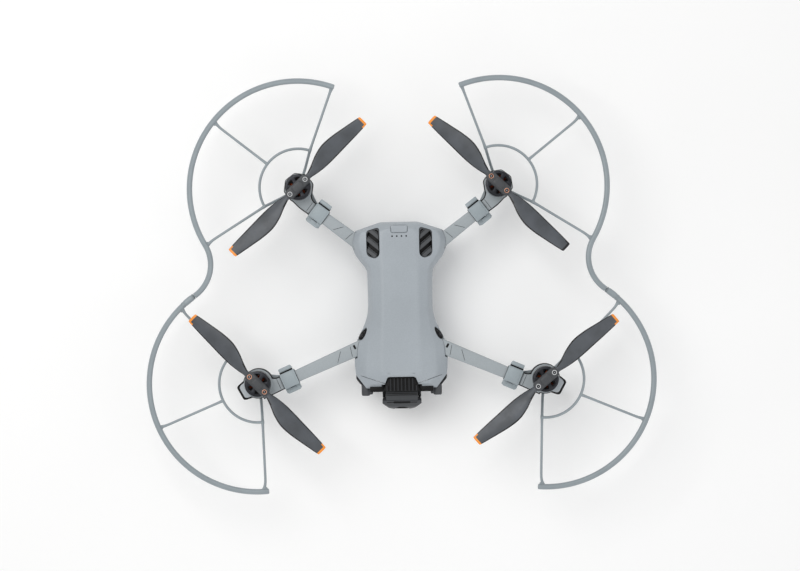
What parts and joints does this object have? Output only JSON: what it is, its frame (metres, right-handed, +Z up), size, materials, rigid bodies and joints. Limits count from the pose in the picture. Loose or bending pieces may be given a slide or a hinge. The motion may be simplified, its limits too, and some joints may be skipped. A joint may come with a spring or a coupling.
{
  "type": "folding camera drone",
  "caption": "Folding camera drone with clip-on propeller guards, folding blades, a stabilised nose camera and a rear battery.",
  "frame": {"origin": "on the ground under the centre of the propeller guards' footprint", "axes": "-Y towards the camera nose, +X the drone's left side, +Z up"},
  "size_m": [0.4016, 0.3271, 0.0637],
  "materials": {
    "shell": "fine matte light grey",
    "arm_shell": "fine matte light grey",
    "guard_plastic": "satin light grey",
    "dark_plastic": "matte dark grey",
    "black_window": "gloss black",
    "lens_glass": "coated glass",
    "light_pipe": "clear light guide",
    "circuit": "solder mask",
    "heat_metal": "cast, dull",
    "blade_plastic": "satin dark grey with orange tips",
    "motor_metal": "anodised dark grey",
    "copper_winding": "enamelled copper",
    "steel": "machined steel",
    "button_plastic": "matte light grey",
    "battery_shell": "matte mid grey",
    "rubber_pad": "soft matt rubber"
  },
  "bodies": {
    "airframe": {"upper_shell": "shell", "lower_shell": "shell", "nose_panel": "black_window", "vent_louvres": "dark_plastic", "shoulder_sensors": "black_window", "front_sensors": "dark_plastic", "front_lenses": "lens_glass", "status_lights": "light_pipe", "main_board": "circuit", "cooling_fan": "dark_plastic", "belly_sensors": "black_window", "hinge_pins": "steel", "front_legs": "arm_shell", "foot_pads": "rubber_pad", "gimbal_mount": "dark_plastic", "gimbal_dampers": "rubber_pad", "front_left_arm": "arm_shell", "front_left_guard": "guard_plastic", "front_left_stator": "copper_winding", "front_right_arm": "arm_shell", "front_right_guard": "guard_plastic", "front_right_stator": "copper_winding", "rear_left_arm": "arm_shell", "rear_left_guard": "guard_plastic", "rear_left_stator": "copper_winding", "rear_right_arm": "arm_shell", "rear_right_guard": "guard_plastic", "rear_right_stator": "copper_winding"},
    "front_left_rotor": {"front_left_bell": "motor_metal", "front_left_hub": "dark_plastic", "front_left_screws": "steel"},
    "front_left_blade_a": {"front_left_blade_a": "blade_plastic"},
    "front_left_blade_b": {"front_left_blade_b": "blade_plastic"},
    "front_right_rotor": {"front_right_bell": "motor_metal", "front_right_hub": "dark_plastic", "front_right_screws": "steel"},
    "front_right_blade_a": {"front_right_blade_a": "blade_plastic"},
    "front_right_blade_b": {"front_right_blade_b": "blade_plastic"},
    "rear_left_rotor": {"rear_left_bell": "motor_metal", "rear_left_hub": "dark_plastic", "rear_left_screws": "steel"},
    "rear_left_blade_a": {"rear_left_blade_a": "blade_plastic"},
    "rear_left_blade_b": {"rear_left_blade_b": "blade_plastic"},
    "rear_right_rotor": {"rear_right_bell": "motor_metal", "rear_right_hub": "dark_plastic", "rear_right_screws": "steel"},
    "rear_right_blade_a": {"rear_right_blade_a": "blade_plastic"},
    "rear_right_blade_b": {"rear_right_blade_b": "blade_plastic"},
    "gimbal_yaw": {"gimbal_yaw_arm": "heat_metal"},
    "gimbal_roll": {"gimbal_roll_arm": "dark_plastic"},
    "camera": {"camera_body": "dark_plastic", "camera_lens": "lens_glass"},
    "battery": {"battery_pack": "battery_shell"},
    "battery_latch_left": {"battery_latch_left": "dark_plastic"},
    "battery_latch_right": {"battery_latch_right": "dark_plastic"},
    "power_button": {"power_button": "button_plastic"},
    "front_left_strap": {"front_left_strap": "guard_plastic"},
    "front_right_strap": {"front_right_strap": "guard_plastic"},
    "rear_left_strap": {"rear_left_strap": "guard_plastic"},
    "rear_right_strap": {"rear_right_strap": "guard_plastic"}
  },
  "joints": [
    {"name": "front_left_spin", "type": "hinge", "parent": "airframe", "child": "front_left_rotor", "pos_m": [0.1132, -0.077, 0.05], "axis": [0, 0, 1], "continuous": true},
    {"name": "front_left_fold_a", "type": "hinge", "parent": "front_left_rotor", "child": "front_left_blade_a", "pos_m": [0.11956, -0.07167, 0.0606], "axis": [0, 0, 1], "range_deg": [-90, 90]},
    {"name": "front_left_fold_b", "type": "hinge", "parent": "front_left_rotor", "child": "front_left_blade_b", "pos_m": [0.10684, -0.08234, 0.0606], "axis": [0, 0, 1], "range_deg": [-90, 90]},
    {"name": "front_right_spin", "type": "hinge", "parent": "airframe", "child": "front_right_rotor", "pos_m": [-0.1132, -0.077, 0.05], "axis": [0, 0, 1], "continuous": true},
    {"name": "front_right_fold_a", "type": "hinge", "parent": "front_right_rotor", "child": "front_right_blade_a", "pos_m": [-0.11896, -0.07102, 0.0606], "axis": [0, 0, 1], "range_deg": [-90, 90]},
    {"name": "front_right_fold_b", "type": "hinge", "parent": "front_right_rotor", "child": "front_right_blade_b", "pos_m": [-0.10744, -0.08298, 0.0606], "axis": [0, 0, 1], "range_deg": [-90, 90]},
    {"name": "rear_left_spin", "type": "hinge", "parent": "airframe", "child": "rear_left_rotor", "pos_m": [0.0788, 0.077, 0.05], "axis": [0, 0, 1], "continuous": true},
    {"name": "rear_left_fold_a", "type": "hinge", "parent": "rear_left_rotor", "child": "rear_left_blade_a", "pos_m": [0.07283, 0.08277, 0.0606], "axis": [0, 0, 1], "range_deg": [-90, 90]},
    {"name": "rear_left_fold_b", "type": "hinge", "parent": "rear_left_rotor", "child": "rear_left_blade_b", "pos_m": [0.08477, 0.07123, 0.0606], "axis": [0, 0, 1], "range_deg": [-90, 90]},
    {"name": "rear_right_spin", "type": "hinge", "parent": "airframe", "child": "rear_right_rotor", "pos_m": [-0.0788, 0.077, 0.05], "axis": [0, 0, 1], "continuous": true},
    {"name": "rear_right_fold_a", "type": "hinge", "parent": "rear_right_rotor", "child": "rear_right_blade_a", "pos_m": [-0.07281, 0.08274, 0.0606], "axis": [0, 0, 1], "range_deg": [-90, 90]},
    {"name": "rear_right_fold_b", "type": "hinge", "parent": "rear_right_rotor", "child": "rear_right_blade_b", "pos_m": [-0.08479, 0.07125, 0.0606], "axis": [0, 0, 1], "range_deg": [-90, 90]},
    {"name": "gimbal_yaw", "type": "hinge", "parent": "airframe", "child": "gimbal_yaw", "pos_m": [0, -0.07, 0.045], "axis": [0, 0, 1], "range_deg": [-8, 8]},
    {"name": "gimbal_roll", "type": "hinge", "parent": "gimbal_yaw", "child": "gimbal_roll", "pos_m": [0, -0.07, 0.031], "axis": [0, 1, 0], "range_deg": [-15, 15]},
    {"name": "gimbal_pitch", "type": "hinge", "parent": "gimbal_roll", "child": "camera", "pos_m": [0, -0.086, 0.031], "axis": [1, 0, 0], "range_deg": [-15, 90]},
    {"name": "battery_slide", "type": "slide", "parent": "airframe", "child": "battery", "axis": [0, 1, 0], "range_m": [0, 0.09]},
    {"name": "battery_latch_left_press", "type": "slide", "parent": "battery", "child": "battery_latch_left", "axis": [-1, 0, 0], "range_m": [0, 0.0021], "stiffness_N_per_m": 600, "springref_m": -0.0005},
    {"name": "battery_latch_right_press", "type": "slide", "parent": "battery", "child": "battery_latch_right", "axis": [1, 0, 0], "range_m": [0, 0.0021], "stiffness_N_per_m": 600, "springref_m": -0.0005},
    {"name": "power_button_press", "type": "slide", "parent": "airframe", "child": "power_button", "axis": [0, 0, -1], "range_m": [0, 0.0008], "stiffness_N_per_m": 500, "springref_m": -0.0005},
    {"name": "front_left_strap_open", "type": "hinge", "parent": "airframe", "child": "front_left_strap", "pos_m": [0.08521, -0.08164, 0.0396], "axis": [0.919, -0.3943, 0], "range_deg": [0, 90]},
    {"name": "front_right_strap_open", "type": "hinge", "parent": "airframe", "child": "front_right_strap", "pos_m": [-0.08521, -0.08164, 0.0396], "axis": [0.919, 0.3943, 0], "range_deg": [0, 90]},
    {"name": "rear_left_strap_open", "type": "hinge", "parent": "airframe", "child": "rear_left_strap", "pos_m": [0.06793, 0.04958, 0.0396], "axis": [0.7932, 0.609, 0], "range_deg": [0, 90]},
    {"name": "rear_right_strap_open", "type": "hinge", "parent": "airframe", "child": "rear_right_strap", "pos_m": [-0.06793, 0.04958, 0.0396], "axis": [0.7932, -0.609, 0], "range_deg": [0, 90]}
  ]
}
